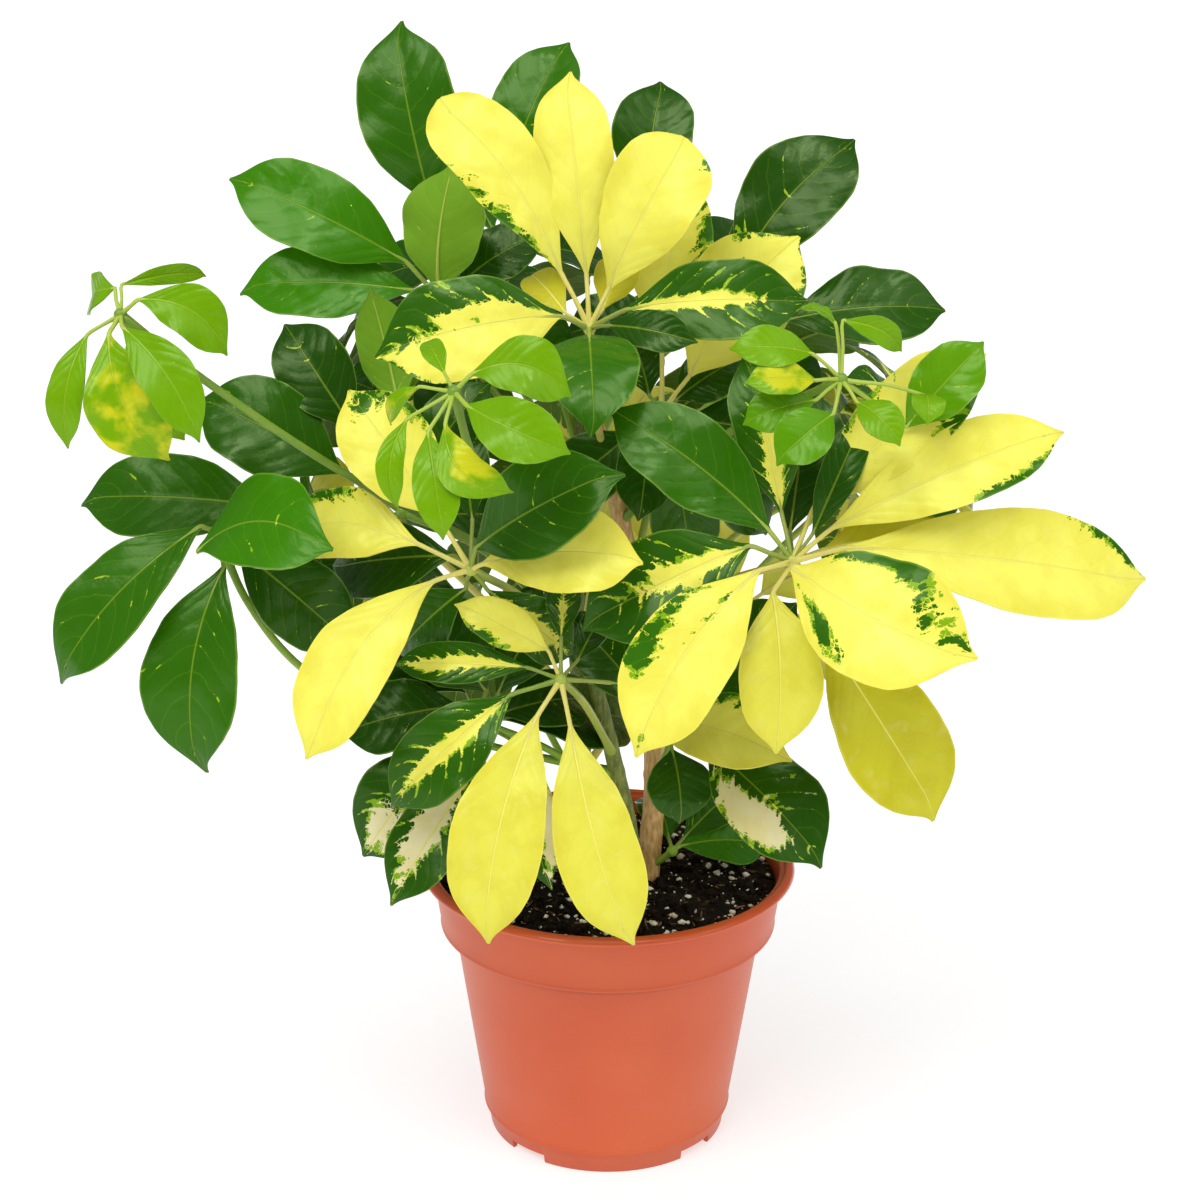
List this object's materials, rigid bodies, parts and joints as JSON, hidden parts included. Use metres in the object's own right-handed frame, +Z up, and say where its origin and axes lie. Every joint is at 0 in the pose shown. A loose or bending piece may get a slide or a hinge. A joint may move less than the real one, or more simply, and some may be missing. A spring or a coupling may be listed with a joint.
{
  "type": "potted umbrella plant",
  "caption": "Dwarf umbrella tree with fingered compound leaves, yellow and green, on three stems in a tapered nursery pot.",
  "frame": {"origin": "on the pot's axis, at the surface that the pot stands on", "axes": "+Z up, +X to the plant's right as seen from its front, -Y towards the front"},
  "size_m": [0.3345, 0.2605, 0.3821],
  "materials": {
    "terracotta_plastic": "satin moulded polypropylene",
    "potting_soil": "moist peat and bark with white perlite",
    "woody_stem": "tan bark with leaf scars",
    "green_stem": "green-brown young bark",
    "green_leaf": "glossy deep green leaf with paler veins",
    "yellow_leaf": "glossy bright yellow leaf with jagged green patches",
    "young_leaf": "glossy light green young leaf"
  },
  "bodies": {
    "root": {"pot": "terracotta_plastic", "soil": "potting_soil", "stem_main": "woody_stem", "stem_left": "green_stem", "stem_back": "green_stem", "leaf_crown": "yellow_leaf", "leaf_upper_left": "green_leaf", "leaf_top": "green_leaf", "leaf_upper_right": "green_leaf", "leaf_behind_crown": "yellow_leaf", "leaf_young_right": "young_leaf", "leaf_young_far_left": "young_leaf", "leaf_young_centre": "young_leaf", "leaf_middle_left": "yellow_leaf", "leaf_back_left": "green_leaf", "leaf_left": "green_leaf", "leaf_big_right": "yellow_leaf", "leaf_bottom_centre": "yellow_leaf", "leaf_low_left": "green_leaf", "leaf_low_right": "green_leaf", "leaf_lowest_right": "green_leaf", "leaf_rear_top_left": "green_leaf", "leaf_rear_top_right": "yellow_leaf", "leaf_rear_middle": "yellow_leaf", "leaf_rear_left": "yellow_leaf", "leaf_rear_right": "green_leaf", "leaf_side_left": "green_leaf", "leaf_side_right": "green_leaf", "leaf_rear_low_right": "green_leaf", "leaf_rear_low_left": "green_leaf"}
  },
  "joints": []
}
